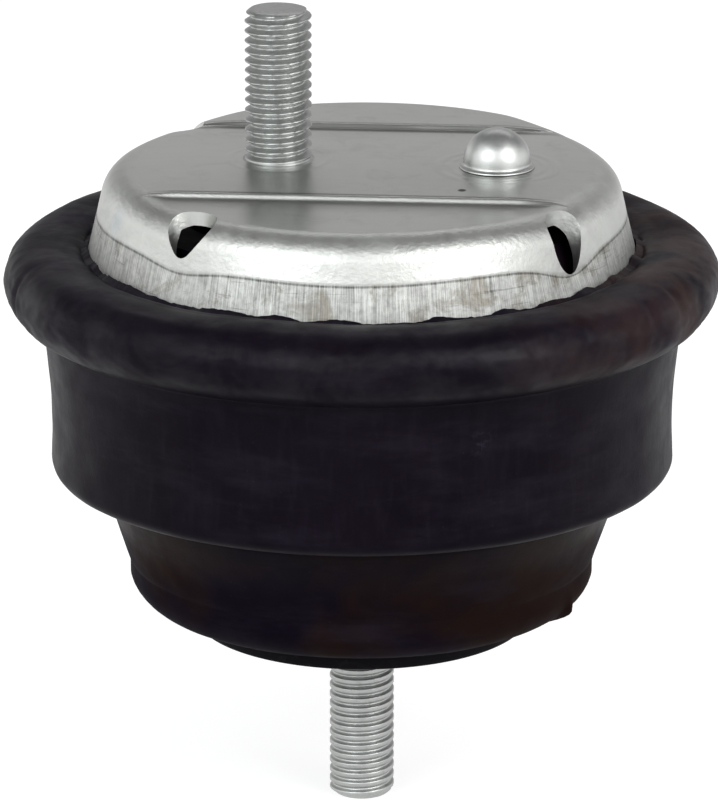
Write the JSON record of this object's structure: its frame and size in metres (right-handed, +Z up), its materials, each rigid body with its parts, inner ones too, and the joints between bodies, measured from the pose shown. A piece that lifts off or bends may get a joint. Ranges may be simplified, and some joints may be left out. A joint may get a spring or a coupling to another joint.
{
  "type": "hydraulic engine mount",
  "caption": "Fluid-filled rubber engine mount with a vented pressed-steel pan, an offset threaded stud, a domed locating pin and a threaded stud below.",
  "frame": {"origin": "centre of the flat engine seat at the root of the lower stud", "axes": "+Z up through the body to the pan, +X along the raised band towards the locating pin"},
  "size_m": [0.1072, 0.1072, 0.122],
  "materials": {
    "zinc_plated_steel": "satin zinc plate with fine drawing marks on the wall",
    "zinc_plated_stud": "bright zinc plate",
    "black_rubber": "satin moulded rubber",
    "coated_core": "black bonding coat",
    "plain_steel": "plain pressed steel",
    "cast_aluminium": "as cast"
  },
  "bodies": {
    "root": {"base_pan": "zinc_plated_steel", "frame_stud": "zinc_plated_stud", "locating_pin": "zinc_plated_stud", "engine_stud": "zinc_plated_stud", "rubber_body": "black_rubber", "diaphragm": "black_rubber", "decoupler_disc": "black_rubber", "inner_core": "coated_core", "outer_ring": "plain_steel", "channel_rivets": "plain_steel", "channel_plate_lower": "cast_aluminium", "channel_plate_upper": "cast_aluminium"}
  },
  "joints": []
}
